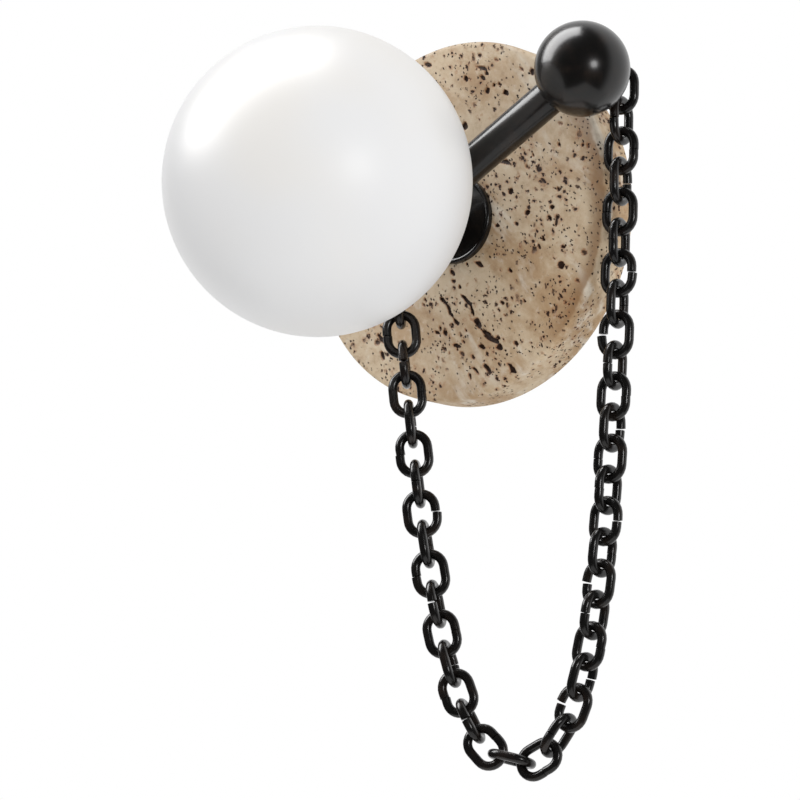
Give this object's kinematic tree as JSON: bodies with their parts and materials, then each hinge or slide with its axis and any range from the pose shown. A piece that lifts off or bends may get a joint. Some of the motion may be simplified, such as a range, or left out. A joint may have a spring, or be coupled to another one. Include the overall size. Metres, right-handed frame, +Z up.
{
  "type": "wall sconce",
  "caption": "Wall light: opal globe on a round stone backplate, with a slanted rod, a ball and a swag of oval-link chain.",
  "frame": {"origin": "centre of the stone backplate's rear face, on the wall, where the wall crossbar is fixed", "axes": "+Z up; -Y straight out from the wall, towards the globe; +X to the right seen from the front"},
  "size_m": [0.2353, 0.2268, 0.4117],
  "materials": {
    "zinc_steel": "zinc-plated steel, slightly dull",
    "travertine": "honed unfilled travertine, cream to tan with brown pits",
    "black_bronze": "satin blackened bronze",
    "spring_steel": "bright spring steel",
    "porcelain": "glazed white porcelain",
    "bulb_glass": "frosted capsule glass",
    "pin_metal": "bare wire pins",
    "opal_glass": "opal white glass with a satin surface"
  },
  "bodies": {
    "light": {"wall_crossbar": "zinc_steel", "threaded_tube": "zinc_steel", "crossbar_nut": "zinc_steel", "stone_backplate": "travertine", "hub_flange": "black_bronze", "stem": "black_bronze", "rod": "black_bronze", "ball": "black_bronze", "ball_stud": "zinc_steel", "ball_eye": "black_bronze", "rod_eye": "black_bronze", "chain_links_01_02": "black_bronze", "chain_links_41_42": "black_bronze", "fitter_plate": "black_bronze", "fitter_nut": "zinc_steel", "globe_clips": "spring_steel", "lamp_holder": "porcelain"},
    "chain": {"chain_links_03_04": "black_bronze", "chain_links_05_06": "black_bronze", "chain_links_07_08": "black_bronze", "chain_links_09_10": "black_bronze", "chain_links_11_12": "black_bronze", "chain_links_13_14": "black_bronze", "chain_links_15_16": "black_bronze", "chain_links_17_18": "black_bronze", "chain_links_19_20": "black_bronze", "chain_links_21_22": "black_bronze", "chain_links_23_24": "black_bronze", "chain_links_25_26": "black_bronze", "chain_links_27_28": "black_bronze", "chain_links_29_30": "black_bronze", "chain_links_31_32": "black_bronze", "chain_links_33_34": "black_bronze", "chain_links_35_36": "black_bronze", "chain_links_37_38": "black_bronze", "chain_links_39_40": "black_bronze"},
    "globe": {"globe": "opal_glass"},
    "bulb": {"bulb_base": "porcelain", "bulb_glass": "bulb_glass", "bulb_pins": "pin_metal"}
  },
  "joints": [
    {"name": "chain_swing", "type": "hinge", "parent": "light", "child": "chain", "pos_m": [0.11229, -0.02713, 0.03025], "axis": [-0.8412, -0.2111, -0.4977], "range_deg": [-5, 30]},
    {"name": "globe_pull", "type": "slide", "parent": "light", "child": "globe", "axis": [0, -1, 0], "range_m": [0, 0.09]},
    {"name": "bulb_pull", "type": "slide", "parent": "light", "child": "bulb", "axis": [0, -1, 0], "range_m": [0, 0.014]}
  ]
}
